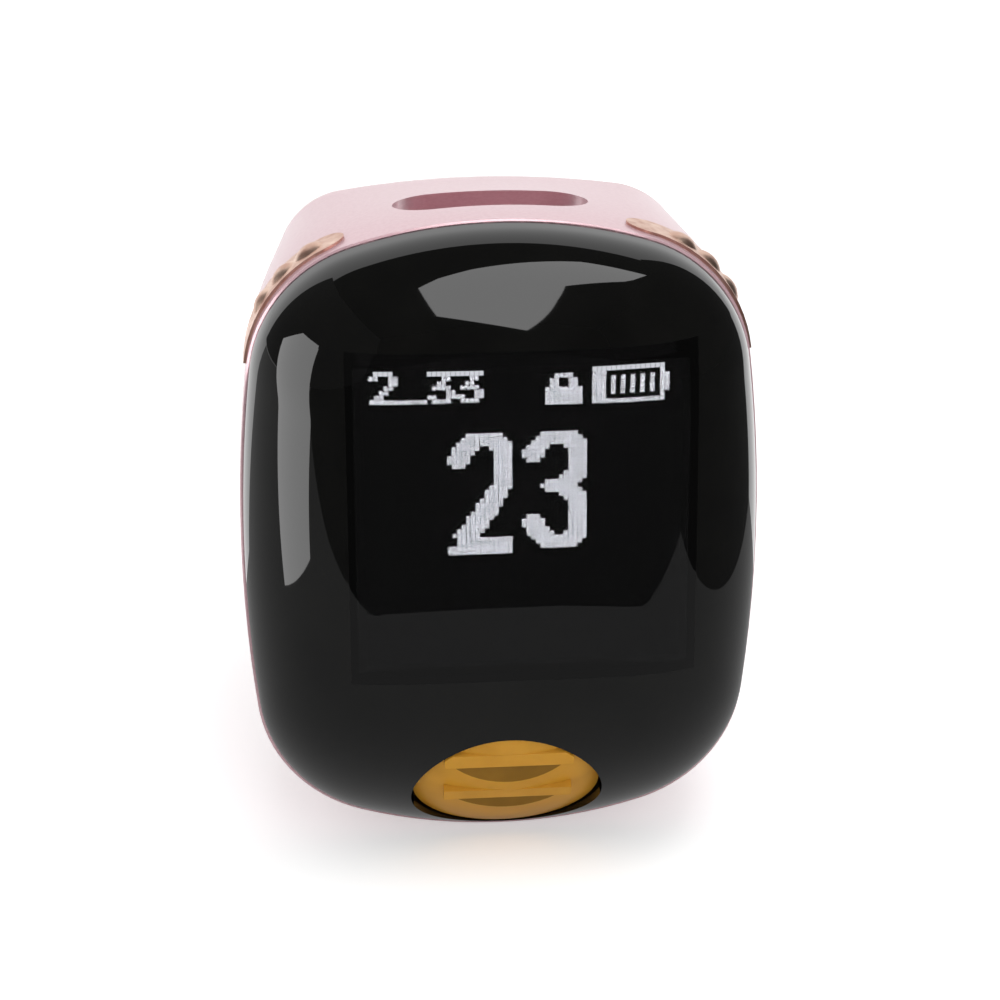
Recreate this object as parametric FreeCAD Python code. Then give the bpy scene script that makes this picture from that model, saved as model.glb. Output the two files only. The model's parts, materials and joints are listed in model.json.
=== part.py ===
"""Electronic finger-ring tally counter: a ring body with a domed dark cover, a small display, a thumb
button, a vibration motor and a cell. Millimetres. The finger bore is centred on the origin and runs
along X, the display faces -Y and +Z is up."""

import FreeCAD
import Part
import os
from math import cos, hypot, radians, sin, sqrt, tan

V = FreeCAD.Vector

# ---- Finger bore and band ----
bore_r = 10.0  # ring size of about 20 mm
bore_length = 10.0  # straight cylinder in the middle of the bore
flare_half_length = 12.0  # where the comfort flare ends
flare_rise = 0.9  # how far the flare opens beyond the bore at its end
band_wall = 2.4  # wall of the band behind the finger
band_half_width = 5.2  # at the back

# ---- Head of the ring, seen from the front ----
head_half_width = 11.65
head_half_height = 14.95
head_crown_r = 21.8  # top and bottom edges
head_side_r = 69.0  # left and right edges
head_corner_r = 6.7
rim_y = -12.2  # where the rim plane crosses the display axis
rim_tilt = 1.7  # degrees, the top of the rim leans forward
rim_edge_break = 0.08
waist_half_width = 10.2  # of the ring at the finger axis
waist_half_height = 13.0
waist_crown_r = 45.0
waist_corner_r = 3.7

# ---- Front cover ----
cover_front_y = -18.0
cover_wall = 1.4
rim_land = 0.1  # rim left showing round the cover
gasket_t = 0.15
slope_r = 12.0  # the lower slope that carries the button
side_rounding_width = 5.65  # from the flat window out to the rim
side_rounding_depth = 6.0
top_rounding_width = 5.2
top_rounding_depth = 4.5
flat_corner_r = 3.2

# ---- Bay for the works, open towards the cover ----
bay_side_wall = 1.45
bay_top_wall = 2.75
bay_bottom_wall = 1.35
bay_floor_y = -10.3
bore_floor_t = 1.0  # metal between the finger bore and the bay
bay_corner_r = 5.0

# ---- Lanyard slot in the top shoulder ----
slot_length = 8.8
slot_width = 3.8
slot_behind_rim = 2.6
slot_lean = 45.0  # degrees, the slot runs back and down into the bore

# ---- Inlays on the upper shoulders ----
inlay_from_rim = 0.6
inlay_width = 2.0
inlay_proud = 0.12
inlay_depth = 0.5
left_inlay_start_x = 6.7
right_inlay_start_x = 5.7
inlay_end_z = 8.4
leaf_r = 1.1
leaf_proud = 0.35  # above the shoulder
leaf_turns = (34.0, 47.0, 60.0)  # degrees round the corner

# ---- Button ----
button_angle = 38.0  # degrees below the horizontal
button_r = 4.25
button_gap = 0.1  # running gap all round in the cover
button_dome_r = 11.0  # of the cap's rounded top
button_depth = 2.1  # from the cover's surface to the cap's inner face
button_travel = 0.6
groove_valleys = (-2.66, -0.1)  # down the slope from the button's axis
groove_run = 1.15  # from the valley down to where the groove runs out
groove_depth = 0.38
grip_width = 0.75  # of the flat grip above each groove
grip_length = 5.8
lug_reach = 0.8
lug_height = 2.0
lug_t = 0.6

# ---- Switch behind the button ----
switch_w = 4.0
switch_h = 3.0
switch_t = 1.0
plunger_reach = 0.7  # of the plunger beyond the switch at rest
plunger_r = 0.9
pusher_r = 1.3
pusher_t = 0.5
switch_board_t = 0.2
switch_board_w = 5.2
switch_board_h = 3.8

# ---- Display and main board, stacked behind the cover ----
display_x = 0.6  # the display sits a little to the right
display_overlap = 1.2  # of the display beyond each side of the flat window
display_t = 1.2
display_adhesive_t = 0.2  # clear, between the cover and the display
display_foam_t = 0.3
display_edge = 0.3  # glass left free round the adhesive
connector_w = 5.2
connector_h = 1.0
connector_t = 0.5
connector_drop = 0.5  # below the display
flex_w = 4.6
flex_t = 0.12
board_t = 0.6
board_side_gap = 2.3  # inside the bay's side
board_drop = 2.75  # below the flat window
board_rise = 0.5  # above it
board_corner_r = 2.0
post_x = 5.7
post_up = 1.2  # above the board's lower edge
post_r = 1.0
screw_r = 0.5
screw_head_r = 0.9
screw_head_t = 0.35
screw_length = 2.2
cross_w = 0.2

# ---- Parts soldered on the back of the main board ----
chip_x = 3.9
chip_z = -0.9
chip_size = 5.0
chip_t = 0.8
crystal_x = 7.2
crystal_z = -1.6
crystal_w = 1.0
crystal_h = 2.0
crystal_t = 0.5
regulator_x = 1.9
regulator_z = -4.6
regulator_w = 2.6
regulator_h = 1.6
regulator_t = 0.9

# ---- Cell ----
tape_t = 0.2
tape_w = 11.0
tape_inset = 1.0
cell_w = 13.6
cell_t = 3.0
cell_corner_r = 1.0
cell_below_bay_top = 1.2
cell_over_motor = 0.4
cell_foam_w = 10.0
cell_foam_inset = 2.5
tab_xs = (3.6, 5.6)
tab_w = 1.2
tab_h = 0.4
tab_t = 0.5

# ---- Vibration motor ----
motor_x = -3.4
motor_z = -1.5
motor_r = 3.5
motor_t = 2.1
motor_skin = 0.2
motor_base_t = 0.3
motor_contact_t = 0.3
motor_contact_w = 1.0
motor_contact_h = 1.2
motor_pad_inset = 0.8
shaft_r = 0.4
shaft_gap = 0.05
rotor_r = 2.9
rotor_t = 0.8
rotor_hub_wall = 0.6

# ---- Charging contacts in the finger bore ----
contact_xs = (1.5, 4.5)
contact_z = -2.2
contact_r = 0.75
contact_gap = 0.03
contact_proud = 0.15
contact_head_r = 1.1
contact_head_t = 0.3
charge_board_t = 0.3
charge_board_h = 3.0
charge_board_edge = 1.3  # beyond the middle of each contact
charge_lead_w = 0.6
charge_lead_h = 1.2

# ---- Places that follow from the sizes above ----
band_r = bore_r + band_wall
bay_floor_r = bore_r + bore_floor_t
flare_r = (flare_half_length - bore_length / 2) ** 2 / (2 * flare_rise) + flare_rise / 2
rim_slope = tan(radians(rim_tilt))
bay_half_width = head_half_width - bay_side_wall
bay_top = head_half_height - bay_top_wall
bay_bottom = bay_bottom_wall - head_half_height
cover_half_height = head_half_height - rim_land
flat_half_width = head_half_width - rim_land - side_rounding_width
flat_top = cover_half_height - top_rounding_width
slope_centre_y = cover_front_y + slope_r
slope_foot_y = rim_y + cover_half_height * sin(radians(rim_tilt))
slope_foot_z = -cover_half_height * cos(radians(rim_tilt))
flat_bottom = slope_foot_z + sqrt(slope_r ** 2 - (slope_foot_y - slope_centre_y) ** 2)
button_out = V(0, -cos(radians(button_angle)), -sin(radians(button_angle)))
button_down = V(0, sin(radians(button_angle)), -cos(radians(button_angle)))
slope_centre = V(0, slope_centre_y, flat_bottom)
cap_inner = slope_r - button_depth
switch_top = cap_inner - pusher_t - plunger_reach
switch_back = switch_top - switch_t
display_w = 2 * (flat_half_width + display_overlap)
display_top = flat_top
display_bottom = flat_bottom
display_front_y = cover_front_y + cover_wall + display_adhesive_t
display_back_y = display_front_y + display_t
board_front_y = display_back_y + display_foam_t
board_back_y = board_front_y + board_t
board_half_width = bay_half_width - board_side_gap
board_top = flat_top + board_rise
board_bottom = flat_bottom - board_drop
post_z = board_bottom + post_up
cell_front_y = board_back_y + tape_t
cell_back_y = cell_front_y + cell_t
cell_top = bay_top - cell_below_bay_top
cell_bottom = motor_z + motor_r + cell_over_motor
motor_front_y = board_back_y + motor_contact_t


def corner_centre(half_w, half_h, crown_r, side_r, corner_r):
    """Centre of the corner arc that touches the crown arc and the side arc from inside."""
    reach = crown_r - corner_r
    side_reach = side_r - corner_r
    dx = half_w - side_r
    dz = crown_r - half_h
    apart = hypot(dx, dz)
    along = (reach ** 2 - side_reach ** 2 + apart ** 2) / (2 * apart)
    off = sqrt(reach ** 2 - along ** 2)
    x = (along * dx + off * dz) / apart
    z = half_h - crown_r + (along * dz - off * dx) / apart
    return x, z


def corner_points(half_w, half_h, crown_r, side_r, corner_r):
    """Where the corner arc meets the crown, its middle, and where it meets the side."""
    x, z = corner_centre(half_w, half_h, crown_r, side_r, corner_r)
    grow = crown_r / (crown_r - corner_r)
    crown_end = (x * grow, half_h - crown_r + (z - half_h + crown_r) * grow)
    grow = side_r / (side_r - corner_r)
    side_end = (half_w - side_r + (x - half_w + side_r) * grow, z * grow)
    mid_x = crown_end[0] + side_end[0] - 2 * x
    mid_z = crown_end[1] + side_end[1] - 2 * z
    scale = corner_r / hypot(mid_x, mid_z)
    return crown_end, (x + mid_x * scale, z + mid_z * scale), side_end


def arc_wire(runs, place):
    """A closed wire of arcs, and of lines where a run has two points."""
    edges = []
    for run in runs:
        points = [place(u, v) for u, v in run]
        edges.append(Part.Arc(*points).toShape() if len(points) == 3 else Part.makeLine(*points))
    return Part.Wire(edges)


def outline(half_w, half_h, crown_r, side_r, corner_r, place):
    """The eight-arc outline that the head, the cover, the gasket and the bay all share."""
    top, mid, side = corner_points(half_w, half_h, crown_r, side_r, corner_r)

    def at(point, sx, sz):
        return (point[0] * sx, point[1] * sz)

    runs = [
        (at(top, -1, 1), (0, half_h), top),
        (top, mid, side),
        (side, (half_w, 0), at(side, 1, -1)),
        (at(side, 1, -1), at(mid, 1, -1), at(top, 1, -1)),
        (at(top, 1, -1), (0, -half_h), at(top, -1, -1)),
        (at(top, -1, -1), at(mid, -1, -1), at(side, -1, -1)),
        (at(side, -1, -1), (-half_w, 0), at(side, -1, 1)),
        (at(side, -1, 1), at(mid, -1, 1), at(top, -1, 1)),
    ]
    return arc_wire(runs, place)


def leaning(y, tilt, centre_z=0.0):
    """Places a flat outline at depth y, with its top leaning forward by tilt degrees."""
    lean = radians(tilt)
    return lambda u, v: V(u, y - v * sin(lean), centre_z + v * cos(lean))


def box(x0, x1, y0, y1, z0, z1):
    return Part.makeBox(x1 - x0, y1 - y0, z1 - z0, V(x0, y0, z0))


def rod(radius, y0, y1, x, z):
    """A cylinder along Y."""
    return Part.makeCylinder(radius, y1 - y0, V(x, y0, z), V(0, 1, 0))


def behind_rim(distance, depth=40.0):
    """The half space that starts this far behind the rim plane."""
    slab = Part.makeBox(80, depth, 80, V(-40, 0, -40))
    slab.rotate(V(0, 0, 0), V(1, 0, 0), rim_tilt)
    lean = radians(rim_tilt)
    slab.translate(V(0, rim_y + distance * cos(lean), distance * sin(lean)))
    return slab


def head_loft(grow):
    """The head from the rim back to the finger axis."""
    # shares of the way: depth, tilt, then width, height and radii from the rim to the waist
    shares = [
        (1.0, 1.0, 0.0, 0.0, 0.0),
        (0.74, 0.75, 0.04, 0.15, 0.1),
        (0.41, 0.4, 0.36, 0.51, 0.4),
        (0.0, 0.0, 1.0, 1.0, 1.0),
    ]
    wires = []
    for depth, tilt, w, h, r in shares:
        half_w = head_half_width + (waist_half_width - head_half_width) * w
        half_h = head_half_height + (waist_half_height - head_half_height) * h
        crown = head_crown_r + (waist_crown_r - head_crown_r) * r
        corner = head_corner_r + (waist_corner_r - head_corner_r) * r
        place = leaning(rim_y * depth, rim_tilt * tilt)
        wires.append(outline(half_w + grow, half_h + grow, crown, head_side_r, corner, place))
    return Part.makeLoft(wires, True, False)


def band_section(theta, half_w, outer, crown, corner):
    """One cross-section of the band, in the plane through the finger axis at angle theta."""
    core = bore_r * 0.8
    top, mid, side = corner_points(half_w, outer, crown, head_side_r, corner)
    half_core = half_w - head_side_r + sqrt(head_side_r ** 2 - core ** 2)
    between = (core + side[1]) / 2
    half_between = half_w - head_side_r + sqrt(head_side_r ** 2 - between ** 2)
    runs = [
        ((-half_core, core), (half_core, core)),
        ((half_core, core), (half_between, between), side),
        (side, mid, top),
        (top, (0, outer), (-top[0], top[1])),
        ((-top[0], top[1]), (-mid[0], mid[1]), (-side[0], side[1])),
        ((-side[0], side[1]), (-half_between, between), (-half_core, core)),
    ]
    turn = radians(theta)
    return arc_wire(runs, lambda u, v: V(u, v * sin(turn), v * cos(turn)))


def band_loft():
    """The band behind the finger axis."""
    step = waist_half_width - band_half_width
    crown = waist_crown_r
    corner = waist_corner_r
    # angle from the top, half-width, outer radius, crown, corner
    quarter = [
        (-12.0, waist_half_width * 1.11, waist_half_height * 1.06, crown * 0.89, corner * 1.1),
        (0.0, waist_half_width, waist_half_height, crown, corner),
        (20.0, waist_half_width - step * 0.14, band_r, crown * 0.93, corner * 0.8),
        (45.0, band_half_width + step * 0.36, band_r, crown * 0.84, corner * 0.53),
        (70.0, band_half_width + step * 0.09, band_r, crown * 0.76, corner * 0.38),
        (90.0, band_half_width, band_r, crown * 0.71, corner * 0.33),
    ]
    mirrored = [(180.0 - row[0],) + row[1:] for row in reversed(quarter[:-1])]
    band = Part.makeLoft([band_section(*row) for row in quarter + mirrored], True, False)
    return band.common(box(-20, 20, 0, 30, -30, 30))


def finger_bore():
    """The finger bore with its comfort flares, as a solid to take away."""
    half = bore_length / 2
    end = flare_half_length
    mid = (half + end) / 2
    mid_r = bore_r + flare_r - sqrt(flare_r ** 2 - (mid - half) ** 2)
    end_r = bore_r + flare_rise
    points = [V(-end - 2, end_r, 0), V(-end, end_r, 0), V(-mid, mid_r, 0), V(-half, bore_r, 0)]
    mirrored = [V(-p.x, p.y, 0) for p in reversed(points)]
    edges = [
        Part.makeLine(points[0], points[1]),
        Part.Arc(points[1], points[2], points[3]).toShape(),
        Part.makeLine(points[3], mirrored[0]),
        Part.Arc(mirrored[0], mirrored[1], mirrored[2]).toShape(),
        Part.makeLine(mirrored[2], mirrored[3]),
        Part.makeLine(mirrored[3], V(end + 2, 0, 0)),
        Part.makeLine(V(end + 2, 0, 0), V(-end - 2, 0, 0)),
        Part.makeLine(V(-end - 2, 0, 0), points[0]),
    ]
    profile = Part.Face(Part.Wire(edges))
    return profile.revolve(V(0, 0, 0), V(1, 0, 0), 360)


def bay_solid():
    """The room for the works: a flat floor, with the finger bore's wall bulging into it."""
    centre = (bay_top + bay_bottom) / 2
    half_h = (bay_top - bay_bottom) / 2
    place = leaning(cover_front_y, 0, centre)
    wire = outline(bay_half_width, half_h, head_crown_r, head_side_r, bay_corner_r, place)
    prism = Part.Face(wire).extrude(V(0, bay_floor_y - cover_front_y, 0))
    return prism.cut(Part.makeCylinder(bay_floor_r, 40, V(-20, 0, 0), V(1, 0, 0)))


def slot_tunnel():
    """The lanyard slot: a stadium that leans back and runs into the finger bore."""
    start_z = head_half_height + 2
    lean = tan(radians(slot_lean))
    front_y = rim_y - head_half_height * rim_slope + slot_behind_rim - 2 * lean
    r = slot_width / 2
    half = slot_length / 2 - r
    y = front_y + r
    runs = [
        ((-half, y - r), (half, y - r)),
        ((half, y - r), (half + r, y), (half, y + r)),
        ((half, y + r), (-half, y + r)),
        ((-half, y + r), (-half - r, y), (-half, y - r)),
    ]
    wire = arc_wire(runs, lambda u, v: V(u, v, start_z))
    drop = start_z - bore_r * 0.6
    return Part.Face(wire).extrude(V(0, drop * lean, -drop))


def shoulder_zone(side):
    """The part of a shoulder that an inlay covers: side -1 is the left one."""
    start = left_inlay_start_x if side < 0 else right_inlay_start_x
    strip = behind_rim(inlay_from_rim, inlay_width)
    r = inlay_width / 2
    middle_y = rim_y - head_half_height * rim_slope + inlay_from_rim + r
    x = side * (start + r)
    rounded = Part.makeCylinder(r, 20, V(x, middle_y, inlay_end_z), V(0, 0, 1))
    straight = strip.common(box(min(x, side * 20), max(x, side * 20), -20, 0, inlay_end_z, 20))
    return straight.fuse(rounded)


def shoulder_point(turn, distance, sink):
    """A point sunk into the head's upper right corner, at an angle from its top, behind the rim."""
    cx, cz = corner_centre(
        head_half_width, head_half_height, head_crown_r, head_side_r, head_corner_r
    )
    reach = head_corner_r - sink
    z = cz + reach * cos(radians(turn))
    return V(cx + reach * sin(radians(turn)), rim_y - z * rim_slope + distance, z)


def inlay(side, head_outer, head_inner):
    """A raised strip in a recess, with leaf lobes along it."""
    zone = shoulder_zone(side)
    strip = head_outer.common(zone).cut(head_inner)
    middle = inlay_from_rim + inlay_width / 2
    for turn in leaf_turns:
        centre = shoulder_point(turn, middle, leaf_r - leaf_proud)
        leaf = Part.makeSphere(leaf_r, V(side * centre.x, centre.y, centre.z))
        strip = strip.fuse(leaf.common(zone).cut(head_inner))
    return strip.removeSplitter()


def dome_row(y, wall):
    """Half-width, top and bottom of the cover at depth y, this far inside its skin."""
    side_b = side_rounding_depth - wall
    top_b = top_rounding_depth - wall
    side_a = head_half_width - rim_land - flat_half_width - wall
    top_a = head_half_height - rim_land - flat_top - wall
    side_in = max(0.0, cover_front_y + side_rounding_depth - y)
    top_in = max(0.0, cover_front_y + top_rounding_depth - y)
    side_share = sqrt(max(0.0, 1 - (side_in / side_b) ** 2))
    top_share = sqrt(max(0.0, 1 - (top_in / top_b) ** 2))
    slope = sqrt(max(0.0, (slope_r - wall) ** 2 - (y - slope_centre_y) ** 2))
    half_w = flat_half_width + side_a * side_share
    return half_w, flat_top + top_a * top_share, flat_bottom - slope, side_share


def dome(wall):
    """The cover's full shape, this far inside its skin, from behind the rim to its flat front."""
    wires = []
    steps = 8
    rear = rim_y + 2.2
    front = cover_front_y + wall
    side_y = cover_front_y + side_rounding_depth
    depths = [rear, rear - 0.9]
    for i in range(steps + 1):
        depths.append(side_y + (front - side_y) * sin(radians(90 * i / steps)))
    for y in depths:
        half_w, top, bottom, share = dome_row(y, wall)
        corner = flat_corner_r + (head_corner_r - rim_land - wall - flat_corner_r) * share
        place = leaning(y, 0, (top + bottom) / 2)
        half_h = (top - bottom) / 2
        wires.append(outline(half_w, half_h, head_crown_r, head_side_r, corner, place))
    return Part.makeLoft(wires, True, False)


def button_rod(radius, inner, outer):
    """A cylinder on the button's axis, between two distances from the slope's centre."""
    return Part.makeCylinder(radius, outer - inner, slope_centre + button_out * inner, button_out)


def button_block(half_w, half_h, inner, outer, x=0.0):
    """A block square to the button's axis."""
    corners = [(-half_w, -half_h), (half_w, -half_h), (half_w, half_h), (-half_w, half_h)]
    base = slope_centre + button_out * inner
    points = [base + V(x + u, 0, 0) + button_down * v for u, v in corners]
    face = Part.Face(Part.makePolygon(points + points[:1]))
    return face.extrude(button_out * (outer - inner))


def rounded_plate(x0, x1, y0, y1, z0, z1, r):
    """A plate square to Y with its four corners rounded."""
    plate = box(x0, x1, y0, y1, z0, z1)
    upright = [e for e in plate.Edges if abs(e.tangentAt(e.FirstParameter).y) > 0.99]
    return plate.makeFillet(r, upright)


parts = {}
bay = bay_solid()
cover_skin = dome(0.0)

# ---- Ring body ----
head = head_loft(0)
rim_face = min(head.Faces, key=lambda face: face.CenterOfMass.y)
ring = head.makeChamfer(rim_edge_break, rim_face.Edges).fuse(band_loft())
posts = []
for side in (-1, 1):
    posts.append(rod(post_r, board_back_y, bay_floor_y + 0.5, side * post_x, post_z))
inlay_skin = head_loft(inlay_proud)
inlay_bed = head_loft(-inlay_depth)
ring = ring.cut(bay).cut(finger_bore()).cut(slot_tunnel())
ring = ring.cut(button_rod(button_r + 0.2, cap_inner - button_travel - 0.3, slope_r + 2))
for side in (-1, 1):
    ring = ring.cut(shoulder_zone(side).cut(inlay_bed))
for post in posts:
    ring = ring.fuse(post)
for side in (-1, 1):
    ring = ring.cut(rod(screw_r, board_back_y - 1, board_back_y + screw_length, side * post_x, post_z))
for x in contact_xs:
    ring = ring.cut(rod(contact_r + contact_gap, -bay_floor_r - 2, -bore_r + 2, x, contact_z))
parts["ring_body"] = ring.removeSplitter()

# ---- Inlays ----
parts["left_inlay"] = inlay(-1, inlay_skin, inlay_bed)
parts["right_inlay"] = inlay(1, inlay_skin, inlay_bed)

# ---- Front cover and its gasket ----
ahead = behind_rim(-20, 20 - gasket_t)
pocket = box(
    display_x - display_w / 2 - 0.15, display_x + display_w / 2 + 0.15,
    display_front_y - display_adhesive_t, board_back_y,
    display_bottom - 0.15, display_top + 0.15,
)
cover = cover_skin.cut(dome(cover_wall)).cut(pocket).common(ahead)
cover = cover.cut(button_rod(button_r + button_gap, cap_inner - 1, slope_r + 2))
parts["front_cover"] = cover
seal_zone = behind_rim(-gasket_t, gasket_t)
gasket = cover_skin.common(seal_zone).cut(bay)
parts["cover_gasket"] = gasket.cut(button_rod(button_r + 0.2, cap_inner - 2, slope_r + 2))

# ---- Display ----
x0 = display_x - display_w / 2
x1 = display_x + display_w / 2
parts["display_adhesive"] = box(
    x0 + display_edge, x1 - display_edge, display_front_y - display_adhesive_t, display_front_y,
    display_bottom + display_edge, display_top - display_edge,
)
parts["display_glass"] = box(x0, x1, display_front_y, display_back_y, display_bottom, display_top)
parts["display_foam"] = box(
    x0 + 2 * display_edge, x1 - 2 * display_edge, display_back_y, board_front_y,
    display_bottom + connector_h, display_top - 2 * display_edge,
)
connector_top = display_bottom - connector_drop
connector_front = board_front_y - connector_t
parts["display_connector"] = box(
    -connector_w / 2, connector_w / 2, connector_front, board_front_y,
    connector_top - connector_h, connector_top,
)
flex = box(
    -flex_w / 2, flex_w / 2, connector_front - flex_t, connector_front,
    connector_top - connector_h * 0.7, display_bottom,
)
flex = flex.fuse(box(
    -flex_w / 2, flex_w / 2, display_back_y - connector_t, connector_front,
    display_bottom - flex_t, display_bottom,
))
parts["display_flex"] = flex.removeSplitter()

# ---- Main board and what is soldered on it ----
board = rounded_plate(
    -board_half_width, board_half_width, board_front_y, board_back_y, board_bottom, board_top,
    board_corner_r,
)
for side in (-1, 1):
    board = board.cut(rod(screw_r + 0.1, board_front_y - 1, board_back_y + 1, side * post_x, post_z))
parts["main_board"] = board


def on_board(x, z, w, h, t):
    """A block soldered on the back of the main board, centred at x, z."""
    return box(x - w / 2, x + w / 2, board_back_y, board_back_y + t, z - h / 2, z + h / 2)


parts["controller_chip"] = on_board(chip_x, chip_z, chip_size, chip_size, chip_t)
parts["crystal"] = on_board(crystal_x, crystal_z, crystal_w, crystal_h, crystal_t)
parts["voltage_regulator"] = on_board(regulator_x, regulator_z, regulator_w, regulator_h, regulator_t)
for side, name in ((-1, "board_screw_left"), (1, "board_screw_right")):
    x = side * post_x
    screw = rod(screw_r, board_front_y, board_front_y + screw_length, x, post_z)
    head = rod(screw_head_r, board_front_y - screw_head_t, board_front_y, x, post_z)
    cross = box(
        x - screw_r, x + screw_r, board_front_y - screw_head_t, board_front_y - screw_head_t * 0.4,
        post_z - cross_w / 2, post_z + cross_w / 2,
    )
    parts[name] = head.fuse(screw).cut(cross)

# ---- Cell ----
parts["battery_cell"] = rounded_plate(
    -cell_w / 2, cell_w / 2, cell_front_y, cell_back_y, cell_bottom, cell_top, cell_corner_r
)
parts["battery_tape"] = box(
    -tape_w / 2, tape_w / 2, board_back_y, cell_front_y,
    cell_bottom + tape_inset, board_top - tape_inset,
)
foam = box(
    -cell_foam_w / 2, cell_foam_w / 2, cell_back_y, bay_floor_y + cell_foam_inset,
    cell_bottom + cell_foam_inset, cell_top - tape_inset,
)
parts["battery_foam"] = foam.common(bay)
for name, x in zip(("battery_tab_positive", "battery_tab_negative"), tab_xs):
    parts[name] = on_board(x + tab_w / 2, cell_bottom - tab_h / 2, tab_w, tab_h, tab_t)

# ---- Vibration motor ----
case_front = motor_front_y + motor_base_t
case_back = motor_front_y + motor_t
shell = rod(motor_r, case_front, case_back, motor_x, motor_z)
hollow = rod(motor_r - motor_skin, case_front, case_back - motor_skin, motor_x, motor_z)
parts["motor_case"] = shell.cut(hollow)
parts["motor_base"] = rod(motor_r, motor_front_y, case_front, motor_x, motor_z)
parts["motor_shaft"] = rod(shaft_r, case_front, case_back - motor_skin, motor_x, motor_z)
rotor_y = (case_front + case_back - motor_skin - rotor_t) / 2
weight = Part.makeCylinder(rotor_r, rotor_t, V(motor_x, rotor_y, motor_z), V(0, 1, 0), 200)
hub = rod(shaft_r + rotor_hub_wall, rotor_y, rotor_y + rotor_t, motor_x, motor_z)
rotor = weight.fuse(hub).cut(rod(shaft_r + shaft_gap, rotor_y - 1, rotor_y + rotor_t + 1, motor_x, motor_z))
parts["motor_rotor"] = rotor.removeSplitter()
pad = rod(motor_r - motor_pad_inset, case_back, bay_floor_y + motor_pad_inset, motor_x, motor_z)
parts["motor_pad"] = pad.common(bay)
for name, share in (("motor_contact_left", -0.9), ("motor_contact_right", 0.9)):
    x = motor_x + share * motor_contact_w
    parts[name] = on_board(x, motor_z, motor_contact_w, motor_contact_h, motor_contact_t)

# ---- Charging contacts and the small board that joins them ----
contact_face_y = -sqrt(bore_r ** 2 - contact_z ** 2) - contact_proud
contact_head_y = -bay_floor_r - 0.05
for name, x in zip(("charge_contact_left", "charge_contact_right"), contact_xs):
    pin = rod(contact_r, contact_head_y, contact_face_y, x, contact_z)
    head = rod(contact_head_r, contact_head_y - contact_head_t, contact_head_y, x, contact_z)
    parts[name] = pin.fuse(head).removeSplitter()
charge_board_y = contact_head_y - contact_head_t
charge_board_front = charge_board_y - charge_board_t
parts["charge_board"] = box(
    contact_xs[0] - charge_board_edge, contact_xs[1] + charge_board_edge,
    charge_board_front, charge_board_y, contact_z - charge_board_h / 2, contact_z + charge_board_h / 2,
)
lead_x = contact_xs[1] + charge_board_edge - charge_lead_w
parts["charge_lead"] = box(
    lead_x, lead_x + charge_lead_w, board_back_y + chip_t, charge_board_front,
    contact_z - charge_lead_h / 2, contact_z + charge_lead_h / 2,
)

# ---- Button ----
dome_top = slope_r
dome_centre = dome_top - button_dome_r
cap = Part.makeSphere(button_dome_r, slope_centre + button_out * dome_centre)


def dome_height(down):
    """Height of the cap's top above the slope's centre, in the middle plane."""
    return dome_centre + sqrt(button_dome_r ** 2 - down ** 2)


def across_button(section, half):
    """A bar along X with a section given down the slope and out along the button's axis."""
    points = [slope_centre + button_out * out + button_down * down - V(half, 0, 0) for down, out in section]
    return Part.Face(Part.makePolygon(points + points[:1])).extrude(V(2 * half, 0, 0))


for valley in groove_valleys:
    top = valley - grip_width
    foot = valley + groove_run
    grip = [
        (top, cap_inner), (valley, cap_inner), (valley, dome_height(valley)), (top, dome_height(top)),
    ]
    cap = cap.fuse(across_button(grip, grip_length / 2))
for valley in groove_valleys:
    foot = valley + groove_run
    floor = dome_height(valley) - groove_depth
    rise = dome_height(foot) - floor
    groove = [(valley, floor), (foot + groove_run, floor + 2 * rise), (valley, floor + 2 * rise)]
    cap = cap.cut(across_button(groove, button_r))
cap = cap.common(button_rod(button_r, cap_inner, slope_r + 2))
for side in (-1, 1):
    middle = side * (button_r + lug_reach / 2 - 0.2)
    lug = button_block(lug_reach / 2 + 0.2, lug_height / 2, cap_inner - lug_t, cap_inner, middle)
    cap = cap.fuse(lug)
parts["button_cap"] = cap.removeSplitter()
parts["button_pusher"] = button_rod(pusher_r, cap_inner - pusher_t, cap_inner)

# ---- Switch, on a wedge that turns it square to the button ----
plunger_top = cap_inner - pusher_t
well = button_rod(plunger_r + 0.1, switch_top - 0.9, switch_top + 1)
parts["switch_body"] = button_block(switch_w / 2, switch_h / 2, switch_back, switch_top).cut(well)
parts["switch_plunger"] = button_rod(plunger_r, switch_top - 0.25, plunger_top)
board_back = switch_back - switch_board_t
parts["switch_board"] = button_block(switch_board_w / 2, switch_board_h / 2, board_back, switch_back)
high = slope_centre + button_out * board_back - button_down * (switch_board_h / 2 - 0.1)
low = slope_centre + button_out * board_back + button_down * (switch_board_h / 2 - 0.1)
half_w = switch_board_w / 2
wedge_points = [
    V(-half_w, high.y, high.z), V(-half_w, low.y, low.z),
    V(-half_w, bay_floor_y, low.z), V(-half_w, bay_floor_y, high.z),
]
wedge = Part.Face(Part.makePolygon(wedge_points + wedge_points[:1])).extrude(V(2 * half_w, 0, 0))
parts["switch_bracket"] = wedge.common(bay)
parts["switch_lead"] = box(
    1.0, 2.2, board_back_y, board_back_y + 0.3, high.z - 0.2, high.z + 0.6
)

os.makedirs("parts", exist_ok=True)
for name, shape in parts.items():
    shape.exportStep("parts/" + name + ".step")
    print(name, shape.isValid(), len(shape.Solids), round(shape.Volume, 2))
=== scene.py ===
"""An electronic finger-ring tally counter: a pink pearl ring, a smoked glossy cover over a small lit
display, copper inlays on its shoulders and an amber thumb button. The sections follow the way it is put
together."""

import json
from math import atan2, cos, hypot, pi, radians, sin, sqrt

import bmesh
import bpy
from mathutils import Matrix, Quaternion, Vector


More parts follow.
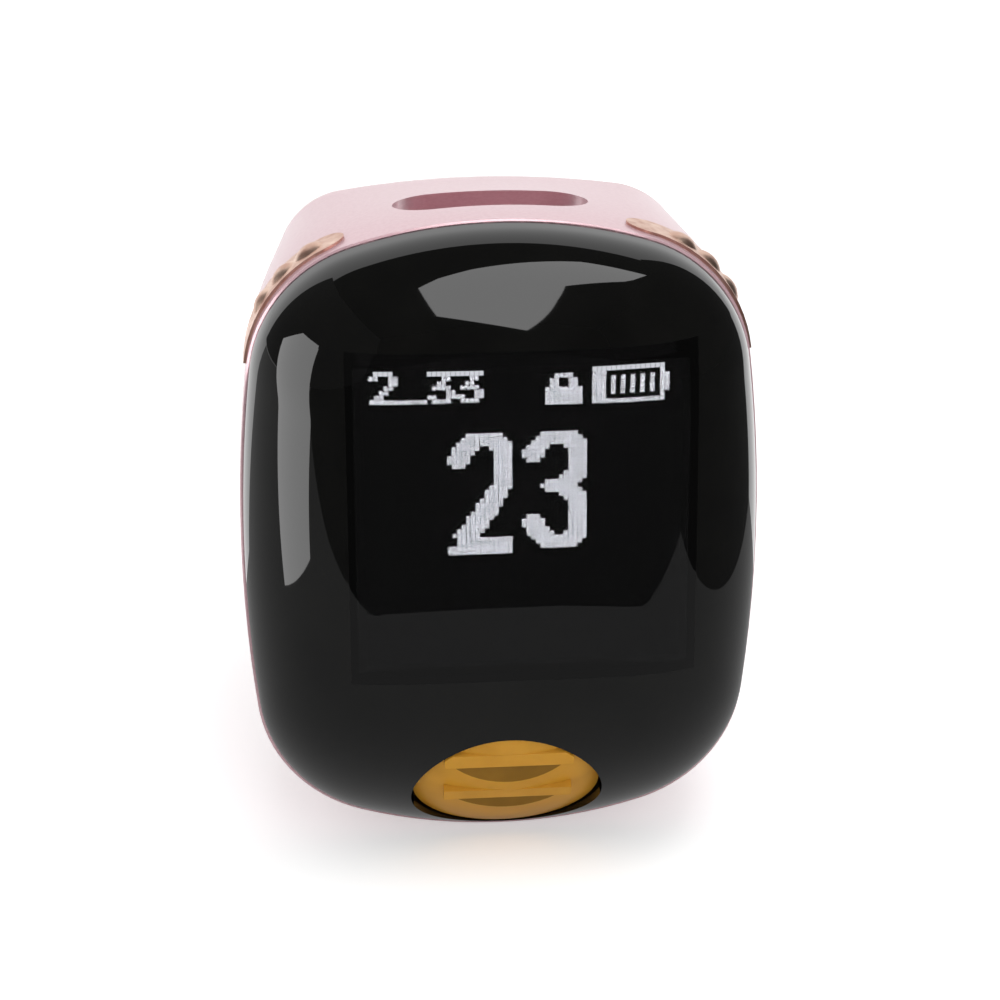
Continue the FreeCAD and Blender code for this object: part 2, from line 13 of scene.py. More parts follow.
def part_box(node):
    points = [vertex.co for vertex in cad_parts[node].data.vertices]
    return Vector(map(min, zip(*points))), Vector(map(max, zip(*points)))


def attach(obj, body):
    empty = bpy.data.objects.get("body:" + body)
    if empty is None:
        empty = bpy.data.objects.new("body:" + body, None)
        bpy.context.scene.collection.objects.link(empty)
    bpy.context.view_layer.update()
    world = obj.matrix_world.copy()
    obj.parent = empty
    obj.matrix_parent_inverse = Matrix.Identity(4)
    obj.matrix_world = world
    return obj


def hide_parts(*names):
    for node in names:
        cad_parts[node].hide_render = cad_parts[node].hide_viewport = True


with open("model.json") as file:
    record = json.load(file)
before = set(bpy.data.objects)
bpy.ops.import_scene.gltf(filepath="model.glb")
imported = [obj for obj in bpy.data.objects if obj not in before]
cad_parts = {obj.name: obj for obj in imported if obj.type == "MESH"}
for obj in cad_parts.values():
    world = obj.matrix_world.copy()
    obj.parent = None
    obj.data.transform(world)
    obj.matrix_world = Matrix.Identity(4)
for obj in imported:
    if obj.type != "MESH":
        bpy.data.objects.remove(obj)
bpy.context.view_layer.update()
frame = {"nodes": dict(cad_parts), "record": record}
nodes = frame["nodes"]
MM = 0.001

# ---------------------------------------------------------------------------------------------
# Ring body. One casting of zinc alloy: the head that holds the works and the band that closes
# round the finger. It is polished, then sprayed with a pink pearl and a clear coat.
# ---------------------------------------------------------------------------------------------


def new_finish(name):
    """An empty material with a Principled shader on its output."""
    finish = bpy.data.materials.new(name)
    finish.use_nodes = True
    finish.node_tree.nodes.clear()
    shader = finish.node_tree.nodes.new("ShaderNodeBsdfPrincipled")
    output = finish.node_tree.nodes.new("ShaderNodeOutputMaterial")
    finish.node_tree.links.new(shader.outputs["BSDF"], output.inputs["Surface"])
    return finish, shader


def add_node(finish, kind, **settings):
    """Adds a node and sets its sockets by name, with spaces written as underscores."""
    node = finish.node_tree.nodes.new(kind)
    for key, value in settings.items():
        node.inputs[key.replace("_", " ")].default_value = value
    return node


def grain(finish, scale, detail, stretch=(1, 1, 1)):
    """A noise texture on the object's own coordinates, which are metres in the part's frame."""
    place = add_node(finish, "ShaderNodeTexCoord")
    mapping = add_node(finish, "ShaderNodeMapping", Scale=stretch)
    noise = add_node(finish, "ShaderNodeTexNoise", Scale=scale, Detail=detail)
    finish.node_tree.links.new(place.outputs["Object"], mapping.inputs["Vector"])
    finish.node_tree.links.new(mapping.outputs["Vector"], noise.inputs["Vector"])
    return noise


def blend_colours(finish, shader, noise, low, high, start=0.35, stop=0.65):
    """Runs the base colour between two colours along a noise."""
    ramp = add_node(finish, "ShaderNodeValToRGB")
    ramp.color_ramp.elements[0].position = start
    ramp.color_ramp.elements[0].color = (*low, 1)
    ramp.color_ramp.elements[1].position = stop
    ramp.color_ramp.elements[1].color = (*high, 1)
    finish.node_tree.links.new(noise.outputs["Fac"], ramp.inputs["Fac"])
    finish.node_tree.links.new(ramp.outputs["Color"], shader.inputs["Base Color"])


def spread_roughness(finish, shader, noise, low, high):
    """Varies the roughness between two values along a noise."""
    spread = add_node(finish, "ShaderNodeMapRange")
    spread.inputs["To Min"].default_value = low
    spread.inputs["To Max"].default_value = high
    finish.node_tree.links.new(noise.outputs["Fac"], spread.inputs["Value"])
    finish.node_tree.links.new(spread.outputs["Result"], shader.inputs["Roughness"])


def raise_surface(finish, shader, noise, strength, distance):
    """Turns a noise into a fine relief. The distance is in metres."""
    bump = add_node(finish, "ShaderNodeBump", Strength=strength, Distance=distance)
    finish.node_tree.links.new(noise.outputs["Fac"], bump.inputs["Height"])
    finish.node_tree.links.new(bump.outputs["Normal"], shader.inputs["Normal"])


def dress(node_name, finish):
    """Puts a finish on a piece that is shown as it was cut, with its flats kept crisp."""
    piece = nodes[node_name]
    piece.data.materials.clear()
    piece.data.materials.append(finish)
    piece.data.polygons.foreach_set("material_index", [0] * len(piece.data.polygons))


pearl_pink, shader = new_finish("pearl_pink_metal")
shader.inputs["Metallic"].default_value = 0.35
shader.inputs["Coat Weight"].default_value = 0.4
shader.inputs["Coat Roughness"].default_value = 0.15
flakes = grain(pearl_pink, 5200, 3)
blend_colours(pearl_pink, shader, flakes, (0.78, 0.495, 0.545), (0.83, 0.56, 0.605))
spread_roughness(pearl_pink, shader, flakes, 0.30, 0.36)
raise_surface(pearl_pink, shader, grain(pearl_pink, 2600, 2), 0.04, 0.00001)
dress("ring_body", pearl_pink)

# ---------------------------------------------------------------------------------------------
# Cover gasket. A thin dark rubber ring between the cover and the rim, with a little mineral
# glitter in it.
# ---------------------------------------------------------------------------------------------

gasket_rubber, shader = new_finish("gasket_rubber")
glitter = grain(gasket_rubber, 3800, 2)
blend_colours(gasket_rubber, shader, glitter, (0.05, 0.022, 0.026), (0.24, 0.13, 0.14), 0.5, 0.7)
spread_roughness(gasket_rubber, shader, glitter, 0.55, 0.30)
dress("cover_gasket", gasket_rubber)

# ---------------------------------------------------------------------------------------------
# Front cover. A moulded shell of smoked polycarbonate, hard coated and polished. Its front is
# flat over the display, rounds off at the top and sides, and slopes away below for the button.
# ---------------------------------------------------------------------------------------------

cover_front_y = -18.0
cover_wall = 1.4
cover_half_width = 11.55
cover_top = 14.85
flat_half_width = 5.9
flat_top = 9.65
side_depth = 6.0
top_depth = 4.5
slope_r = 12.0
crown_r = 21.8
side_r = 69.0
corner_r = 6.6
flat_corner_r = 3.2
rim_y = -12.2
rim_tilt = radians(1.7)
gasket_t = 0.15
button_angle = radians(38.0)
hole_r = 4.35
foot_y = rim_y + cover_top * sin(rim_tilt)
foot_z = -cover_top * cos(rim_tilt)
flat_bottom = foot_z + sqrt(slope_r**2 - (foot_y - cover_front_y - slope_r) ** 2)


def arc_centres(half_w, half_h, bend_r):
    """Centres of the crown, corner and side arcs of a quarter of the cover's outline."""
    reach, side_reach = crown_r - bend_r, side_r - bend_r
    dx, dz = half_w - side_r, crown_r - half_h
    apart = hypot(dx, dz)
    along = (reach**2 - side_reach**2 + apart**2) / (2 * apart)
    off = sqrt(reach**2 - along**2)
    corner = ((along * dx + off * dz) / apart, half_h - crown_r + (along * dz - off * dx) / apart)
    return (0.0, half_h - crown_r), corner, (half_w - side_r, 0.0)


def quarter_outline(half_w, half_h, bend_r, counts):
    """Points down a quarter of the outline, from the middle of the crown to the middle of the side."""
    crown, corner, side = arc_centres(half_w, half_h, bend_r)
    first = atan2(corner[0] - crown[0], corner[1] - crown[1])
    second = atan2(corner[0] - side[0], corner[1] - side[1])
    points = []
    spans = ((crown, crown_r, 0, first), (corner, bend_r, first, second), (side, side_r, second, pi / 2))
    for (centre, radius, start, end), count in zip(spans, counts):
        for i in range(count):
            turn = start + (end - start) * i / count
            points.append((centre[0] + radius * sin(turn), centre[1] + radius * cos(turn)))
    points.append((half_w, 0.0))
    return points


def full_outline(half_w, top, bottom, bend_r, counts):
    """The whole outline, clockwise from the middle of the crown, as seen from the front."""
    half_h, middle = (top - bottom) / 2, (top + bottom) / 2
    right_top = quarter_outline(half_w, half_h, bend_r, counts)
    right = right_top + [(x, -z) for x, z in reversed(right_top[:-1])]
    whole = right + [(-x, z) for x, z in reversed(right[1:-1])]
    return [(x, z + middle) for x, z in whole]


def shell_row(y, wall):
    """The cover's outline at depth y, this far inside its skin."""
    side_a = cover_half_width - flat_half_width - wall
    top_a = cover_top - flat_top - wall
    side_in = max(0.0, cover_front_y + side_depth - y) / (side_depth - wall)
    top_in = max(0.0, cover_front_y + top_depth - y) / (top_depth - wall)
    side_share = sqrt(max(0.0, 1 - side_in**2))
    top_share = sqrt(max(0.0, 1 - top_in**2))
    slope = sqrt(max(0.0, (slope_r - wall) ** 2 - (y - cover_front_y - slope_r) ** 2))
    corner = flat_corner_r + (corner_r - wall - flat_corner_r) * side_share
    return full_outline(
        flat_half_width + side_a * side_share, flat_top + top_a * top_share, flat_bottom - slope,
        corner, (16, 18, 18),
    )


def shell_skin(wall, rows):
    """A closed skin of the cover, drawn as a grid wrapped round the outline and capped at the front."""
    front = cover_front_y + wall
    rear = rim_y + 2.4
    start = cover_front_y + side_depth
    depths = [rear, (rear + start) / 2]
    depths += [start + (front - start) * sin(pi / 2 * i / rows) for i in range(rows + 1)]
    loops = [shell_row(y, wall) for y in depths]
    round_count = len(loops[0])
    bm = bmesh.new()
    bmesh.ops.create_grid(bm, x_segments=round_count, y_segments=len(depths) - 1, size=1)
    for vert in bm.verts:
        column = round((vert.co.x + 1) / 2 * round_count) % round_count
        row = round((vert.co.y + 1) / 2 * (len(depths) - 1))
        x, z = loops[row][column]
        vert.co = Vector((x, depths[row], z)) * MM
    bmesh.ops.remove_doubles(bm, verts=bm.verts, dist=1e-7)
    bmesh.ops.holes_fill(bm, edges=[e for e in bm.edges if e.is_boundary], sides=0)
    bmesh.ops.recalc_face_normals(bm, faces=bm.faces)
    return bm


def cut_flat(bm, point, normal):
    """Cuts a closed skin with a plane, throws away what lies beyond it and closes the cut."""
    everything = bm.verts[:] + bm.edges[:] + bm.faces[:]
    cut = bmesh.ops.bisect_plane(bm, geom=everything, plane_co=point, plane_no=normal, clear_outer=True)
    edges = [g for g in cut["geom_cut"] if isinstance(g, bmesh.types.BMEdge)]
    bmesh.ops.holes_fill(bm, edges=edges, sides=0)
    bmesh.ops.recalc_face_normals(bm, faces=bm.faces)


def finish_piece(bm, name, finish, body, crease=35):
    """Makes an object of a bmesh, smooth but for edges sharper than the crease, on its body."""
    mesh = bpy.data.meshes.new(name)
    for face in bm.faces:
        face.smooth = True
    for edge in bm.edges:
        edge.smooth = not (len(edge.link_faces) == 2 and edge.calc_face_angle(0) > radians(crease))
    bm.to_mesh(mesh)
    bm.free()
    piece = bpy.data.objects.new(name, mesh)
    bpy.context.scene.collection.objects.link(piece)
    mesh.materials.append(finish)
    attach(piece, body)
    return piece


def carve(bm, tools):
    """Takes the tools' shapes out of a bmesh and returns what is left."""
    parts = []
    for number, shape in enumerate([bm] + tools):
        mesh = bpy.data.meshes.new(f"carving_{number}")
        shape.to_mesh(mesh)
        shape.free()
        parts.append(bpy.data.objects.new(f"carving_{number}", mesh))
        bpy.context.scene.collection.objects.link(parts[-1])
    for tool in parts[1:]:
        cut = parts[0].modifiers.new("cut", "BOOLEAN")
        cut.operation = "DIFFERENCE"
        cut.solver = "EXACT"
        cut.object = tool
    bpy.context.view_layer.update()
    left = bmesh.new()
    left.from_mesh(parts[0].evaluated_get(bpy.context.evaluated_depsgraph_get()).to_mesh())
    for part in parts:
        bpy.data.objects.remove(part)
    return left


def button_cylinder(radius, inner, outer, sides=96):
    """A cylinder on the button's axis, between two distances from the centre of the lower slope."""
    bm = bmesh.new()
    bmesh.ops.create_cone(
        bm, cap_ends=True, segments=sides, radius1=radius * MM, radius2=radius * MM,
        depth=(outer - inner) * MM,
    )
    bmesh.ops.translate(bm, vec=(0, 0, (inner + outer) / 2 * MM), verts=bm.verts)
    turn = Matrix.Rotation(pi / 2 + button_angle, 3, "X")
    bmesh.ops.rotate(bm, cent=(0, 0, 0), matrix=turn, verts=bm.verts)
    bmesh.ops.translate(bm, vec=(0, (cover_front_y + slope_r) * MM, flat_bottom * MM), verts=bm.verts)
    return bm


outer = shell_skin(0.0, 40)
inner = shell_skin(cover_wall, 24)
seat_normal = Vector((0, cos(rim_tilt), sin(rim_tilt)))
seat_point = Vector((0, rim_y * MM, 0)) - seat_normal * gasket_t * MM
cut_flat(outer, seat_point, seat_normal)

# The pocket that the display sits in, behind the clear window.
window_middle, window_half_width = 0.6, 7.6
window_bottom, window_top = flat_bottom - 0.3, flat_top + 1.1
window_rear_y = -15.7
pocket_size = Vector((14.3, 2.3, 9.95 - flat_bottom))
pocket_middle = Vector((window_middle, -15.45, (flat_top + flat_bottom) / 2))
pocket = bmesh.new()
bmesh.ops.create_cube(pocket, size=1)
bmesh.ops.scale(pocket, vec=pocket_size * MM, verts=pocket.verts)
bmesh.ops.translate(pocket, vec=pocket_middle * MM, verts=pocket.verts)
hole_inner, hole_outer = 8.5, 14
cover_shape = carve(outer, [inner, pocket, button_cylinder(hole_r, hole_inner, hole_outer)])

# Edges along the window's borders, so that the clear part ends in straight lines.
window_edges = (
    ((window_middle - window_half_width, 0, 0), (1, 0, 0)),
    ((window_middle + window_half_width, 0, 0), (1, 0, 0)),
    ((0, 0, window_bottom), (0, 0, 1)),
    ((0, 0, window_top), (0, 0, 1)),
)
for point, normal in window_edges:
    front = [face for face in cover_shape.faces if face.calc_center_median().y < window_rear_y * MM]
    geometry = set(front)
    for face in front:
        geometry.update(face.edges)
        geometry.update(face.verts)
    bmesh.ops.bisect_plane(cover_shape, geom=list(geometry), plane_co=Vector(point) * MM, plane_no=normal)

smoked, shader = new_finish("smoked_window")
shader.inputs["Base Color"].default_value = (0.04, 0.04, 0.041, 1)
shader.inputs["Transmission Weight"].default_value = 1.0
shader.inputs["IOR"].default_value = 1.5
shader.inputs["Roughness"].default_value = 0.0
lacquer, shader = new_finish("black_lacquer")
cloud = grain(lacquer, 300, 2)
blend_colours(lacquer, shader, cloud, (0.0028, 0.0028, 0.0026), (0.0042, 0.0042, 0.0038))
spread_roughness(lacquer, shader, cloud, 0.015, 0.035)
for face in cover_shape.faces:
    centre = face.calc_center_median() / MM
    beside = abs(centre.x - window_middle) > window_half_width
    above_or_below = not window_bottom < centre.z < window_top
    face.material_index = 1 if beside or above_or_below or centre.y > window_rear_y else 0
cover = finish_piece(cover_shape, "cover_shell", smoked, "casing")
cover.data.materials.append(lacquer)
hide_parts("front_cover")

# ---------------------------------------------------------------------------------------------
# Display. A black glass panel with a grid of 64 by 48 light-emitting dots, bonded to the cover
# by a clear sheet. It shows a running count, a lock, a charge gauge and the count in large figures.
# ---------------------------------------------------------------------------------------------

display_left = -5.87
display_top = 9.55
dot_pitch = 0.202
display_face_y = -16.4

small_figures = {
    "2": ("0111100", "1100110", "0000110", "0001100", "0011000", "0110000", "1111110"),
    "3": ("1111110", "0001100", "0011000", "0111100", "0000110", "1100110", "0111100"),
    "_": ("0000000", "0000000", "0000000", "0000000", "0000000", "0000000", "1111110"),
}
lock_sign = ("00111100", "01100110", "01100110", "11111111", "11111111", "11111111", "11111111")
gauge_sign = (
    "1111111111111110",
    "1110000000000010",
    "1110101010101011",
    "1110101010101011",
    "1110101010101011",
    "1110101010101011",
    "1110000000000010",
    "1111111111111110",
)
large_two = [
    [(4, 11)], [(3, 12)], [(2, 13)], [(1, 6), (9, 13)], [(1, 5), (10, 13)], [(0, 4), (10, 13)],
    [(0, 4), (10, 13)], [(1, 3), (10, 13)], [(10, 13)], [(10, 13)], [(10, 13)], [(10, 13)], [(9, 13)],
    [(8, 12)], [(8, 12)], [(7, 11)], [(6, 11)], [(6, 10)], [(5, 10)], [(4, 9)], [(4, 8)], [(3, 8)],
    [(2, 7)], [(1, 6)], [(2, 13)], [(2, 13)], [(0, 13)], [(0, 13)],
]
large_three = [
    [(4, 11)], [(3, 12)], [(2, 13)], [(1, 5), (9, 13)], [(0, 4), (10, 13)], [(0, 4), (10, 13)],
    [(1, 3), (10, 13)], [(10, 13)], [(10, 13)], [(9, 13)], [(8, 13)], [(5, 12)], [(4, 11)], [(5, 12)],
    [(8, 13)], [(9, 13)], [(10, 13)], [(10, 13)], [(10, 13)], [(1, 3), (10, 13)], [(0, 4), (10, 13)],
    [(0, 4), (10, 13)], [(1, 5), (10, 13)], [(1, 6), (9, 13)], [(2, 13)], [(3, 12)], [(4, 11)],
]


def lit_dots():
    """The grid cells that are lit, as (column, row) from the top left."""
    lit = set()
    for start, figure in zip((0, 6, 12, 18), "2_33"):
        for row, line in enumerate(small_figures[figure]):
            lit |= {(start + column, row) for column, mark in enumerate(line) if mark == "1"}
    for start, drop, sign in ((37, 1, lock_sign), (47, 0, gauge_sign)):
        for row, line in enumerate(sign):
            lit |= {(start + column, row + drop) for column, mark in enumerate(line) if mark == "1"}
    for start, rows in ((16, large_two), (32, large_three)):
        for row, runs in enumerate(rows):
            for first, last in runs:
                lit |= {(start + column, row + 14) for column in range(first, last + 1)}
    return lit


lit = lit_dots()
bm = bmesh.new()
bmesh.ops.create_grid(bm, x_segments=64, y_segments=48, size=0.5)
bmesh.ops.scale(bm, vec=(64 * dot_pitch * MM, 48 * dot_pitch * MM, 1), verts=bm.verts)
bmesh.ops.rotate(bm, cent=(0, 0, 0), matrix=Matrix.Rotation(pi / 2, 3, "X"), verts=bm.verts)
middle = Vector((display_left + 32 * dot_pitch, display_face_y - 0.03, display_top - 24 * dot_pitch)) * MM
bmesh.ops.translate(bm, vec=middle, verts=bm.verts)
dark = []
for face in bm.faces:
    centre = face.calc_center_median() / MM
    column = int((centre.x - display_left) / dot_pitch)
    row = int((display_top - centre.z) / dot_pitch)
    if (column, row) not in lit:
        dark.append(face)
bmesh.ops.delete(bm, geom=dark, context="FACES")
rims = bmesh.ops.inset_individual(bm, faces=bm.faces[:], thickness=0.012 * MM)
bmesh.ops.delete(bm, geom=rims["faces"], context="FACES")
bmesh.ops.solidify(bm, geom=bm.faces[:], thickness=0.02 * MM)
bmesh.ops.recalc_face_normals(bm, faces=bm.faces)
lit_white, shader = new_finish("lit_dots")
shader.inputs["Base Color"].default_value = (0.8, 0.82, 0.84, 1)
shader.inputs["Emission Color"].default_value = (0.93, 0.95, 1.0, 1)
shader.inputs["Emission Strength"].default_value = 17.0
finish_piece(bm, "display_dots", lit_white, "casing")

panel_glass, shader = new_finish("panel_glass")
blend_colours(panel_glass, shader, grain(panel_glass, 900, 2), (0.004, 0.004, 0.005), (0.008, 0.008, 0.009))
shader.inputs["Roughness"].default_value = 0.4
dress("display_glass", panel_glass)

bond_x0, bond_y0, bond_z0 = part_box("display_adhesive")[0]
bond_x1, bond_y1, bond_z1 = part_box("display_adhesive")[1]
bm = bmesh.new()
bmesh.ops.create_cube(bm, size=1)
bmesh.ops.scale(bm, vec=(bond_x1 - bond_x0, 0.12 * MM, bond_z1 - bond_z0), verts=bm.verts)
bmesh.ops.bevel(bm, geom=bm.edges[:], offset=0.02 * MM, segments=2, affect="EDGES", profile=0.5, material=-1)
middle = Vector(((bond_x0 + bond_x1) / 2, (bond_y0 + bond_y1) / 2 - 0.02 * MM, (bond_z0 + bond_z1) / 2))
bmesh.ops.translate(bm, vec=middle, verts=bm.verts)
clear_bond, shader = new_finish("clear_bond")
shader.inputs["Base Color"].default_value = (1, 1, 1, 1)
shader.inputs["Transmission Weight"].default_value = 1.0
shader.inputs["IOR"].default_value = 1.0
shader.inputs["Roughness"].default_value = 0.0
bond = finish_piece(bm, "bond_sheet", clear_bond, "casing")
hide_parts("display_adhesive")

# ---------------------------------------------------------------------------------------------
# Inlays. Two strips of copper-coloured cast relief, pressed into recesses on the upper shoulders
# behind the rim and left satin, with a rubbed, brighter top.
# ---------------------------------------------------------------------------------------------

copper, shader = new_finish("rubbed_copper")
shader.inputs["Metallic"].default_value = 1.0
tarnish = grain(copper, 1500, 4)
blend_colours(copper, shader, tarnish, (0.64, 0.37, 0.28), (0.93, 0.68, 0.55), 0.3, 0.7)
spread_roughness(copper, shader, tarnish, 0.45, 0.28)
raise_surface(copper, shader, grain(copper, 2400, 3), 0.35, 0.00002)
for name in ("left_inlay", "right_inlay"):
    dress(name, copper)

# ---------------------------------------------------------------------------------------------
# Button. A cap moulded in amber plastic with two finger grips, running in the hole of the cover. The ramp of
# each grip is painted a darker amber as painted shade.
# ---------------------------------------------------------------------------------------------

groove_run = 1.15
groove_depth = 0.38
groove_valleys = (-2.66, -0.1)
button_dome_r = 11.0


def amber_plastic(name, low, high):
    """Amber plastic in two tones, with a light mottle."""
    finish, shader = new_finish(name)
    mottle = grain(finish, 600, 3)
    blend_colours(finish, shader, mottle, low, high)
    spread_roughness(finish, shader, mottle, 0.34, 0.46)
    shader.inputs["Specular IOR Level"].default_value = 0.3
    shader.inputs["Subsurface Weight"].default_value = 0.15
    shader.inputs["Subsurface Radius"].default_value = (0.0010, 0.0005, 0.0001)
    raise_surface(finish, shader, grain(finish, 5000, 2), 0.15, 0.00001)
    return finish


dress("button_cap", amber_plastic("amber_plastic", (0.60, 0.285, 0.022), (0.67, 0.325, 0.030)))
cap_mesh = nodes["button_cap"].data
# The second finish is painted shade: a much darker amber laid on the ramp of each grip, standing in for the
# shadow that the wall above it would cast.
cap_mesh.materials.append(amber_plastic("amber_painted_groove_shade", (0.25, 0.120, 0.006), (0.31, 0.150, 0.009)))
out_way = Vector((0, -cos(button_angle), -sin(button_angle)))
down_way = Vector((0, sin(button_angle), -cos(button_angle)))
slope_centre = Vector((0, cover_front_y + slope_r, flat_bottom))
# Finds each grip's ramp facets by their place and facing and gives them the painted-shade amber.
for valley in groove_valleys:
    foot_height = sqrt(button_dome_r**2 - (valley + groove_run) ** 2)
    rise = foot_height - sqrt(button_dome_r**2 - valley**2) + groove_depth
    ramp_normal = (out_way * groove_run - down_way * rise).normalized()
    for face in cap_mesh.polygons:
        down = (face.center / MM - slope_centre).dot(down_way)
        on_ramp = valley - 0.05 < down < valley + groove_run + 0.05
        if on_ramp and face.normal.dot(ramp_normal) > 0.9995:
            face.material_index = 1

# ---------------------------------------------------------------------------------------------
# Works. The board, the cell, the vibration motor, the switch and the charging contacts, which
# sit in the head behind the cover.
# ---------------------------------------------------------------------------------------------


def plain_finish(name, low, high, roughness, metallic=0.0, scale=1200, relief=0.2):
    """A finish with a fine mottled colour, uneven gloss and a light relief."""
    finish, shader = new_finish(name)
    noise = grain(finish, scale, 3)
    blend_colours(finish, shader, noise, low, high)
    spread_roughness(finish, shader, noise, roughness * 0.85, roughness * 1.15)
    shader.inputs["Metallic"].default_value = metallic
    raise_surface(finish, shader, grain(finish, scale * 2, 2), relief, 0.00001)
    return finish


works = {
    "circuit_board": plain_finish("solder_mask", (0.01, 0.06, 0.03), (0.02, 0.12, 0.06), 0.4),
    "chip_black": plain_finish("chip_resin", (0.012, 0.012, 0.013), (0.03, 0.03, 0.03), 0.6),
    "steel_bright": plain_finish("bright_steel", (0.5, 0.5, 0.52), (0.68, 0.68, 0.7), 0.3, 1.0),
    "cell_foil": plain_finish("cell_foil", (0.6, 0.6, 0.62), (0.76, 0.76, 0.78), 0.35, 1.0, 500, 0.5),
    "contact_gold": plain_finish("gold_plate", (0.78, 0.54, 0.2), (0.9, 0.68, 0.32), 0.25, 1.0),
    "foam_black": plain_finish("closed_foam", (0.01, 0.01, 0.01), (0.04, 0.04, 0.04), 0.9, 0.0, 1800, 0.8),
    "flex_polyimide": plain_finish("polyimide_film", (0.45, 0.2, 0.04), (0.6, 0.3, 0.07), 0.3),
    "tungsten": plain_finish("sintered_weight", (0.2, 0.2, 0.21), (0.34, 0.34, 0.35), 0.5, 1.0),
    "switch_black": plain_finish("switch_resin", (0.015, 0.015, 0.016), (0.035, 0.035, 0.035), 0.5),
    "silicone_grey": plain_finish("silicone", (0.28, 0.28, 0.29), (0.36, 0.36, 0.37), 0.7),
}
for entry in frame["record"]["subparts"]:
    if entry["material_slot"] in works:
        dress(entry["node"], works[entry["material_slot"]])

# ---------------------------------------------------------------------------------------------
# Table, lights and camera. The counter stands over a white table. A long soft box hangs over it, a
# small one stands on its left, and black flats keep the front of the room out of the dark cover.
# ---------------------------------------------------------------------------------------------

MIRRORED_ONLY = ("visible_camera", "visible_diffuse", "visible_transmission", "visible_shadow")


def flat_card(name, corners, colour, glow=0.0, hidden=()):
    """A flat of the studio with its corners in millimetres. Hidden names the rays that pass it by."""
    bm = bmesh.new()
    bm.faces.new([bm.verts.new(Vector(corner) * MM) for corner in corners])
    mesh = bpy.data.meshes.new(name)
    bm.to_mesh(mesh)
    bm.free()
    card = bpy.data.objects.new(name, mesh)
    bpy.context.scene.collection.objects.link(card)
    finish, shader = new_finish(name + "_finish")
    shader.inputs["Base Color"].default_value = (*colour, 1)
    shader.inputs["Roughness"].default_value = 0.9
    shader.inputs["Specular IOR Level"].default_value = 0.0
    shader.inputs["Emission Color"].default_value = (1, 1, 1, 1)
    shader.inputs["Emission Strength"].default_value = glow
    mesh.materials.append(finish)
    for ray in hidden:
        setattr(card, ray, False)
    return finish, shader


def seen_rays(tree):
    """One for camera, glossy and transmission rays, nought for the rest."""
    paths = tree.nodes.new("ShaderNodeLightPath")
    total = paths.outputs["Is Camera Ray"]
    for name in ("Is Glossy Ray", "Is Transmission Ray"):
        either = tree.nodes.new("ShaderNodeMath")
        either.operation = "MAXIMUM"
        tree.links.new(total, either.inputs[0])
        tree.links.new(paths.outputs[name], either.inputs[1])
        total = either.outputs["Value"]
    return total


table_z = -15.2
tabletop = [(-700, -300, table_z), (700, -300, table_z), (700, 900, table_z), (-700, 900, table_z)]
pale, shader = flat_card("table", tabletop, (0.9, 0.9, 0.9))
lift = pale.node_tree.nodes.new("ShaderNodeMath")
lift.operation = "MULTIPLY"
lift.inputs[1].default_value = 0.42
pale.node_tree.links.new(seen_rays(pale.node_tree), lift.inputs[0])
pale.node_tree.links.new(lift.outputs["Value"], shader.inputs["Emission Strength"])

world = bpy.data.worlds.new("studio")
bpy.context.scene.world = world
world.use_nodes = True
world.node_tree.nodes.clear()
backdrop = world.node_tree.nodes.new("ShaderNodeBackground")
backdrop.inputs["Color"].default_value = (1, 1, 1, 1)
backdrop.inputs["Strength"].default_value = 1.0
room = world.node_tree.nodes.new("ShaderNodeBackground")
room.inputs["Color"].default_value = (1, 1, 1, 1)
room.inputs["Strength"].default_value = 0.6
choose = world.node_tree.nodes.new("ShaderNodeMixShader")
out = world.node_tree.nodes.new("ShaderNodeOutputWorld")
world.node_tree.links.new(seen_rays(world.node_tree), choose.inputs["Fac"])
world.node_tree.links.new(room.outputs["Background"], choose.inputs[1])
world.node_tree.links.new(backdrop.outputs["Background"], choose.inputs[2])
world.node_tree.links.new(choose.outputs["Shader"], out.inputs["Surface"])

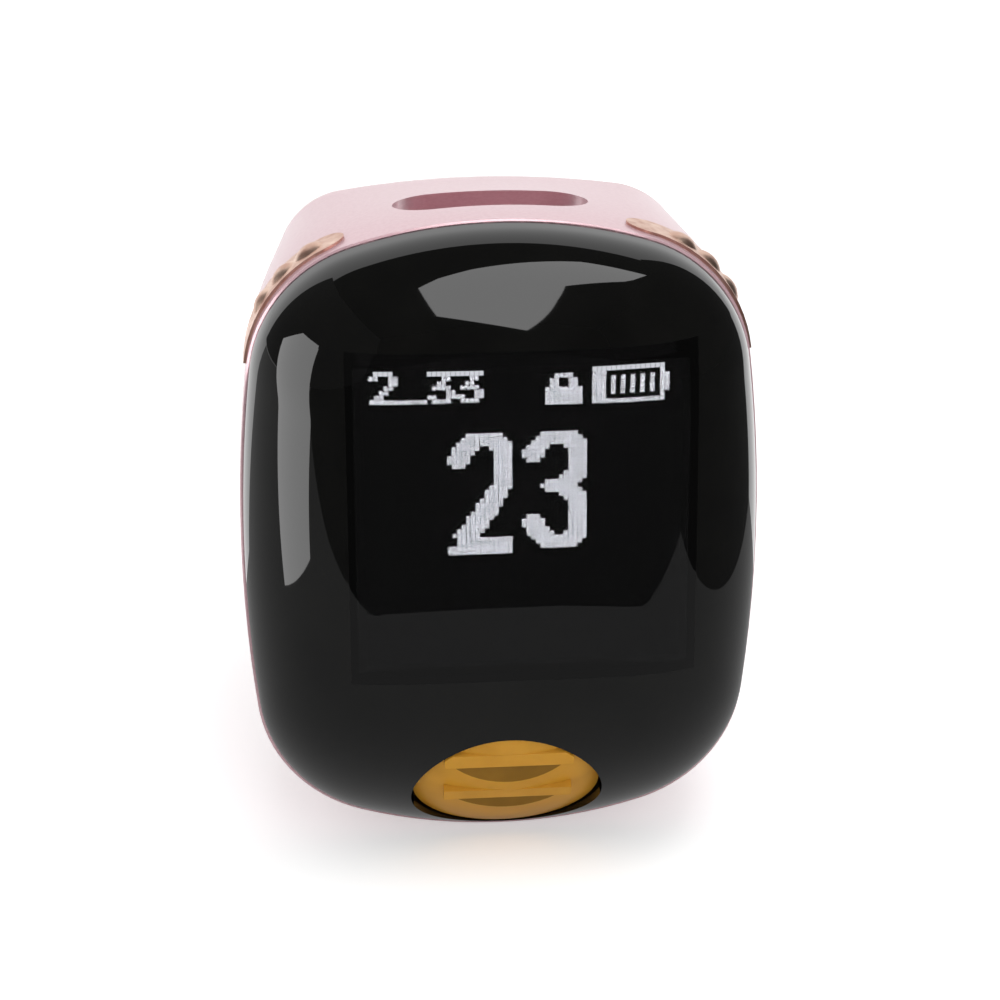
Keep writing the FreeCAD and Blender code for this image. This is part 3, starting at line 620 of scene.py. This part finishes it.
long_box = [
    (-112, -224, 600), (-76, -148, 600), (-16, -84, 600), (180, 56, 600), (368, 64, 600),
    (156, -304, 600), (156, -544, 600), (184, -1696, 600), (-80, -756, 600),
]
flat_card("top_soft_box", long_box, (0.02, 0.02, 0.02), 3.6, ("visible_camera",))
side_box = [(-40, -35, -14.8), (-40, -16, -14.8), (-40, -5, 17), (-40, -17, 24), (-40, -33, 24)]
flat_card("left_soft_box", side_box, (0.02, 0.02, 0.02), 3.5, MIRRORED_ONLY)
front_flat = [(-3000, -1900, -15), (3000, -1900, -15), (3000, -1900, 3000), (-3000, -1900, 3000)]
roof_flat = [(-3000, -1900, 900), (3000, -1900, 900), (3000, 520, 900), (-3000, 520, 900)]
right_flat = [(500, -1900, -15), (500, 560, -15), (500, 560, 900), (500, -1900, 900)]
left_flat = [(-700, -1900, -15), (-700, 700, -15), (-700, 700, 900), (-700, -1900, 900)]
floor_flat = [
    (-3000, -1900, -15), (3000, -1900, -15), (3000, 3200, -15), (42, 16, -15), (34, -48, -15),
    (-34, -48, -15), (-75, -52, -15), (-3000, -1700, -15),
]
grey_flat = [
    (-34, -48, -15), (34, -48, -15), (42, 16, -15), (-30, 16, -15), (-600, 500, -15),
    (-600, -350, -15), (-75, -52, -15),
]
for name, corners in (("front_flat", front_flat), ("roof_flat", roof_flat), ("right_flat", right_flat),
                      ("floor_flat", floor_flat)):
    flat_card(name, corners, (0.02, 0.02, 0.02), 0.04, MIRRORED_ONLY)
flat_card("left_flat", left_flat, (0.02, 0.02, 0.02), 0.08, MIRRORED_ONLY)
flat_card("grey_flat", grey_flat, (0.02, 0.02, 0.02), 0.28, MIRRORED_ONLY)

camera = bpy.data.cameras.new("camera")
camera.sensor_width = 36
camera.lens = 120.3
holder = bpy.data.objects.new("camera", camera)
bpy.context.scene.collection.objects.link(holder)
azimuth, elevation, roll, distance = radians(-4.3), radians(22.5), radians(-0.3), 150.0
back = Vector((sin(azimuth) * cos(elevation), -cos(azimuth) * cos(elevation), sin(elevation)))
aim = Vector((0, -12.2, 1.63))
holder.location = (aim + back * distance) * MM
turned = (-back).to_track_quat("-Z", "Y") @ Quaternion((0, 0, 1), roll)
holder.rotation_euler = turned.to_euler()
camera.clip_start = 0.005
camera.clip_end = 20
bpy.context.scene.camera = holder
bpy.context.scene.view_settings.view_transform = "Standard"
